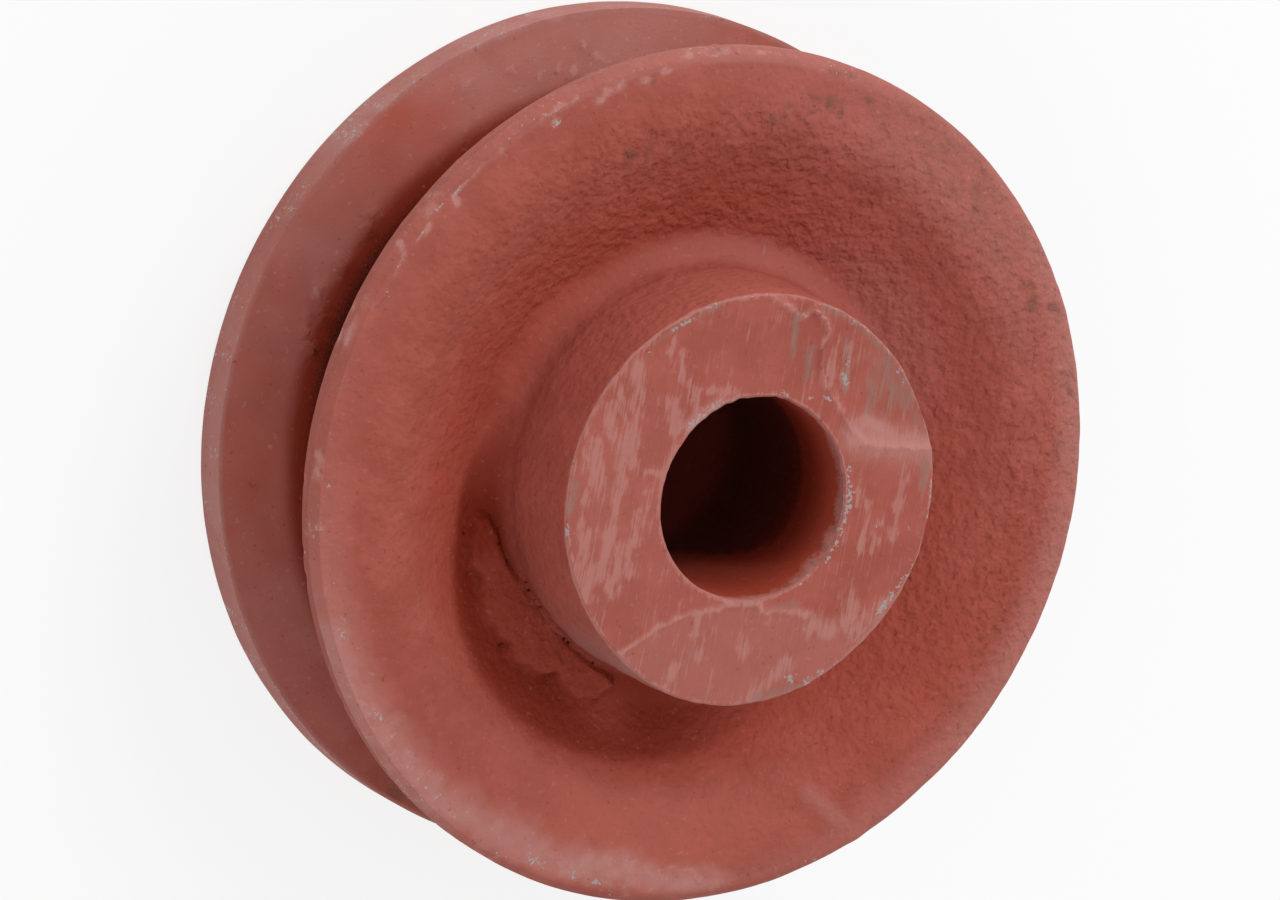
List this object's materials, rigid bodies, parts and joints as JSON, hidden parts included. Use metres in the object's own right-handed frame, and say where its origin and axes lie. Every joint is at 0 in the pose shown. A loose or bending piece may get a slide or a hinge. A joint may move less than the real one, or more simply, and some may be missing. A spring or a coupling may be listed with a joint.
{
  "type": "idler pulley",
  "caption": "Cast-iron V-belt idler pulley with one belt groove, shallow dished sides and a long hub with a plain shaft bore, in red-oxide primer.",
  "frame": {"origin": "on the bore axis, in the plane of the back end of the hub that the part lies on", "axes": "+Z along the bore axis towards the long end of the hub; +X to the right and +Y up for someone looking at that end as in the picture"},
  "size_m": [0.085, 0.085, 0.035],
  "materials": {
    "primer": "matt red-oxide primer on sand-cast iron, worn to bare metal on the edges"
  },
  "bodies": {
    "root": {"pulley": "primer"}
  },
  "joints": []
}
